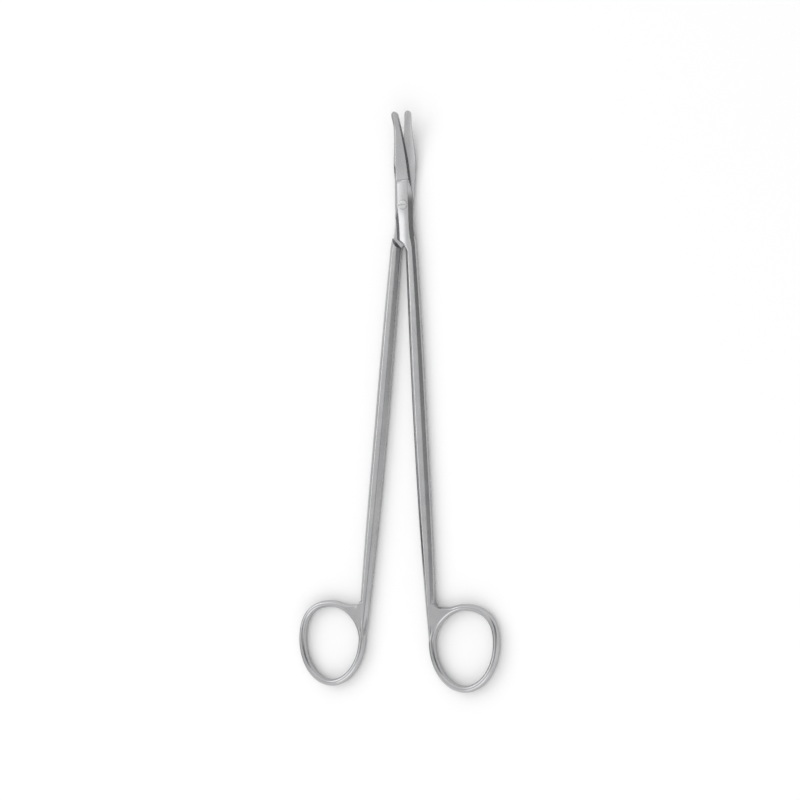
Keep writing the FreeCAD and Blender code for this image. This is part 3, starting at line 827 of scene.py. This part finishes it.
def new_material(name):
    """An empty material, its node tree and its object coordinates."""
    material = bpy.data.materials.new(name)
    material.use_nodes = True
    tree = material.node_tree
    tree.nodes.clear()
    return material, tree, add_node(tree, "TexCoord").outputs["Object"]


def noise(tree, place, scale, detail=2.0):
    made = add_node(tree, "TexNoise", [("Scale", scale), ("Detail", detail)],
                    [("Vector", place)])
    return made.outputs["Fac"]


def mapped(tree, value, low, high, settings=()):
    """The value brought to the range from low to high."""
    made = add_node(tree, "MapRange", [("To Min", low), ("To Max", high), *settings],
                    [("Value", value)])
    return made.outputs["Result"]


def surfaced(tree, settings, links):
    """The tree's surface, with these settings and links."""
    shader = add_node(tree, "BsdfPrincipled", settings, links)
    add_node(tree, "OutputMaterial", (), [("Surface", shader.outputs["BSDF"])])


def satin_ground_stainless(finish):
    """Stainless steel, forged and belt-ground to a satin face, then buffed at the rings. The
    eye gets fine streaks along the shanks, soft cloudy changes of gloss, and rings that
    reflect a little more sharply."""
    # streaks 0.15 mm wide and 12 mm long, drawn coarser than the real grit so that they show
    streak = (1 / (0.15 * MM), 1 / (12 * MM), 1 / (1.5 * MM))
    grit_detail, grit_depth, grit_strength, grit_gloss = 3.0, 0.01 * MM, 0.05, 0.03
    # clouds 6 mm across, where the belt pressed more or less
    cloud = 6 * MM
    # the rings' gloss passes into the shanks' between these two levels
    ring_level, shank_level = -165 * MM, -150 * MM
    material, tree, place = new_material("satin_ground_stainless")
    streaks = add_node(tree, "Mapping", [("Scale", streak)], [("Vector", place)])
    grit = noise(tree, streaks.outputs["Vector"], 1.0, grit_detail)
    tone = add_node(tree, "Mix", [("data_type", "RGBA"), (6, (*finish.steel_dull, 1)),
                                  (7, (*finish.steel, 1))],
                    [("Factor", noise(tree, place, 1 / cloud))])
    axes = add_node(tree, "SeparateXYZ", (), [("Vector", place)])
    gloss = mapped(tree, axes.outputs["Y"], finish.ring_gloss, finish.shank_gloss,
                   [("From Min", ring_level), ("From Max", shank_level),
                    ("interpolation_type", "SMOOTHSTEP")])
    rough = add_node(tree, "Math", [("operation", "ADD")],
                     [(0, gloss), (1, mapped(tree, grit, -grit_gloss, grit_gloss))])
    bump = add_node(tree, "Bump", [("Strength", grit_strength), ("Distance", grit_depth)],
                    [("Height", grit)])
    surfaced(tree, [("Metallic", 1.0)],
             [("Base Color", tone.outputs[2]), ("Roughness", rough.outputs[0]),
              ("Normal", bump.outputs["Normal"])])
    return material


def turned_stainless(finish):
    """Stainless steel faced on a lathe. The eye gets faint rings round the screw's axis."""
    # tool marks 0.1 mm apart
    pitch, mark_gloss = 0.1 * MM, 0.04
    material, tree, place = new_material("turned_stainless")
    flat = add_node(tree, "VectorMath", [("operation", "MULTIPLY"), (1, (1.0, 1.0, 0.0))],
                    [(0, place)])
    radius = add_node(tree, "VectorMath", [("operation", "LENGTH")],
                      [(0, flat.outputs["Vector"])])
    marks = add_node(tree, "Math", [("operation", "MULTIPLY"), (1, 2 * math.pi / pitch)],
                     [(0, radius.outputs["Value"])])
    wave = add_node(tree, "Math", [("operation", "SINE")], [(0, marks.outputs[0])])
    rough = mapped(tree, wave.outputs[0], finish.screw_gloss - mark_gloss,
                   finish.screw_gloss + mark_gloss, [("From Min", -1.0)])
    surfaced(tree, [("Metallic", 1.0), ("Base Color", (*finish.screw, 1))],
             [("Roughness", rough)])
    return material


def matt_table(finish):
    """Plain matt laminate. The eye gets an even pale ground with a very faint cloudiness."""
    cloud, smoothest, roughest = 120 * MM, 0.82, 0.88
    material, tree, place = new_material("matt_table")
    rough = mapped(tree, noise(tree, place, 1 / cloud), smoothest, roughest)
    surfaced(tree, [("Base Color", (*finish.floor, 1)), ("Specular IOR Level", 0.0)],
             [("Roughness", rough)])
    return material


STEELS = {"half_steel": satin_ground_stainless, "screw_steel": turned_stainless}


# Operators

def steel_half(name, side, scene):
    """One forged half: the long body and the ring joined, and bored for the screw."""
    joint, blade, shank = scene.scissors_joint, scene.scissors_blade, scene.scissors_shank
    ring, screw = scene.scissors_ring, scene.scissors_screw
    body = body_surface(side, joint, blade, shank, ring)
    piece = tube(name, put_in_place(body, side, joint))
    loop = put_in_place(ring_surface(side, shank, ring), side, joint)
    combined(piece, tube(name + "_ring", loop, closed=True), "UNION")
    half = joint.thickness / 2
    if side > 0:
        bore = screw.shank / 2 + screw.clearance
        seat = half - screw.head_height - screw.clearance
        wide = screw.head / 2 + screw.clearance
        profile = np.array([[wide, seat], [wide, half - screw.countersink],
                            [wide + 2 * screw.countersink, half + screw.countersink]])
        combined(piece, turned("recess", profile), "DIFFERENCE")
    else:
        bore = screw.shank / 2 + screw.thread_clearance
    profile = np.array([[bore, -2 * half], [bore, 2 * half]])
    combined(piece, turned("bore", profile), "DIFFERENCE")
    return piece


class SCISSORS_OT_front_half(Operator):
    """Build the half on the screw-head side"""
    bl_idname = "scissors.front_half"
    bl_label = "Front half"

    def execute(self, context):
        piece = steel_half("front_half_steel", 1, context.scene)
        finish_piece(piece, "front", "front_half", "half_steel")
        return {"FINISHED"}


class SCISSORS_OT_back_half(Operator):
    """Build the half that the screw is threaded into"""
    bl_idname = "scissors.back_half"
    bl_label = "Back half"

    def execute(self, context):
        piece = steel_half("back_half_steel", -1, context.scene)
        finish_piece(piece, "back", "back_half", "half_steel")
        return {"FINISHED"}


class SCISSORS_OT_screw(Operator):
    """Build the slotted flush screw"""
    bl_idname = "scissors.screw"
    bl_label = "Pivot screw"

    def execute(self, context):
        joint, screw = context.scene.scissors_joint, context.scene.scissors_screw
        piece = turned("pivot_screw_steel", screw_profile(joint, screw))
        top = PIVOT[2] + joint.thickness / 2
        slot = cuboid("slot", (-screw.head, -screw.slot_width / 2, top - screw.slot_depth),
                      (screw.head, screw.slot_width / 2, top + screw.slot_depth))
        combined(piece, slot, "DIFFERENCE")
        finish_piece(piece, "back", "pivot_screw", "screw_steel")
        return {"FINISHED"}


def camera_place(stage):
    """Camera turned from straight above, then moved back until the pivot is in its pixel."""
    turn = (Matrix.Rotation(stage.azimuth, 4, "Y") @ Matrix.Rotation(-stage.elevation, 4, "X")
            @ Matrix.Rotation(-stage.roll, 4, "Z"))
    offset = Vector(((IMAGE_SIZE / 2 - stage.pivot_column) * stage.scale,
                     (stage.pivot_row - IMAGE_SIZE / 2) * stage.scale, stage.distance))
    return Matrix.Translation(Vector(PIVOT) + turn @ offset) @ turn


def area_light(name, place, size, power):
    """Rectangular panel, aimed at the middle of the scissors."""
    light = bpy.data.lights.new(name, "AREA")
    light.shape = "RECTANGLE"
    light.size, light.size_y = size
    light.energy = power
    made = bpy.data.objects.new(name, light)
    made.location = place
    away = Vector(PANEL_AIM) - Vector(place)
    made.rotation_euler = away.to_track_quat("-Z", "Y").to_euler()
    bpy.context.scene.collection.objects.link(made)


def tent(stage):
    """Soft light from all round, as in a white tent: darker to the right and low on the left,
    where the bevels look, and a little darker above, where the flats look."""
    world = bpy.data.worlds.new("tent")
    world.use_nodes = True
    tree = world.node_tree
    tree.nodes.clear()
    way = add_node(tree, "TexCoord").outputs["Generated"]
    level = add_node(tree, "Value").outputs[0]
    level.default_value = stage.sky
    for direction, inner, outer, strength in TENT_SPOTS:
        near = add_node(tree, "VectorMath", [("operation", "DOT_PRODUCT"),
                                             (1, tuple(Vector(direction).normalized()))],
                        [(0, way)])
        part = mapped(tree, near.outputs["Value"], 0.0, 1.0,
                      [("interpolation_type", "SMOOTHSTEP"),
                       ("From Min", math.cos(math.radians(outer))),
                       ("From Max", math.cos(math.radians(inner)))])
        mixed = add_node(tree, "Mix", [("data_type", "FLOAT"), (3, getattr(stage, strength))],
                         [(0, part), (2, level)])
        level = mixed.outputs[0]
    sky = add_node(tree, "Background", (), [("Strength", level)])
    add_node(tree, "OutputWorld", (), [("Surface", sky.outputs["Background"])])
    return world


class SCISSORS_OT_stage(Operator):
    """Set up the table, the soft light and the camera"""
    bl_idname = "scissors.stage"
    bl_label = "Stage"

    def execute(self, context):
        scene = context.scene
        stage = scene.scissors_stage
        low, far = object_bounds()[0][2], TABLE_EXTENT
        points = np.array([[-far, -far, low], [far, -far, low], [far, far, low],
                           [-far, far, low]])
        floor = mesh_object("table", points, [[0, 1, 2, 3]])
        floor.data.materials.append(matt_table(scene.scissors_finish))
        floor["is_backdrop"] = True

        camera = bpy.data.cameras.new("camera")
        camera.sensor_width = SENSOR_WIDTH
        camera.lens = SENSOR_WIDTH * stage.distance / stage.scale / IMAGE_SIZE
        camera.clip_start, camera.clip_end = 0.01, 20.0
        viewer = bpy.data.objects.new("camera", camera)
        viewer.matrix_world = camera_place(stage)
        scene.collection.objects.link(viewer)
        scene.camera = viewer

        scene.world = tent(stage)
        area_light("key", KEY_PLACE, KEY_SIZE, stage.key)
        area_light("fill", FILL_PLACE, FILL_SIZE, stage.fill)
        scene.view_settings.view_transform = "Standard"
        return {"FINISHED"}


class SCISSORS_PT_panel(Panel):
    """Scissors in the sidebar"""
    bl_idname = "SCISSORS_PT_panel"
    bl_label = "Vascular scissors"
    bl_space_type = "VIEW_3D"
    bl_region_type = "UI"
    bl_category = "Scissors"

    def draw(self, context):
        for operator in OPERATORS:
            self.layout.operator(operator.bl_idname)
        for name in GROUPS:
            group = getattr(context.scene, name)
            box = self.layout.box()
            box.label(text=group.__doc__)
            for field in group.__annotations__:
                box.prop(group, field)


GROUPS = {
    "scissors_joint": JointSizes,
    "scissors_blade": BladeSizes,
    "scissors_shank": ShankSizes,
    "scissors_ring": RingSizes,
    "scissors_screw": ScrewSizes,
    "scissors_finish": Finishes,
    "scissors_stage": StageSizes,
}
OPERATORS = (
    SCISSORS_OT_front_half,
    SCISSORS_OT_back_half,
    SCISSORS_OT_screw,
    SCISSORS_OT_stage,
)
CLASSES = (*GROUPS.values(), *OPERATORS, SCISSORS_PT_panel)


def register():
    for made in CLASSES:
        bpy.utils.register_class(made)
    for name, group in GROUPS.items():
        setattr(bpy.types.Scene, name, PointerProperty(type=group))


def unregister():
    for name in GROUPS:
        delattr(bpy.types.Scene, name)
    for made in reversed(CLASSES):
        bpy.utils.unregister_class(made)


def main():
    register()
    bpy.ops.scissors.front_half()
    bpy.ops.scissors.back_half()
    bpy.ops.scissors.screw()
    bpy.ops.scissors.stage()


if __name__ == "__main__":
    main()
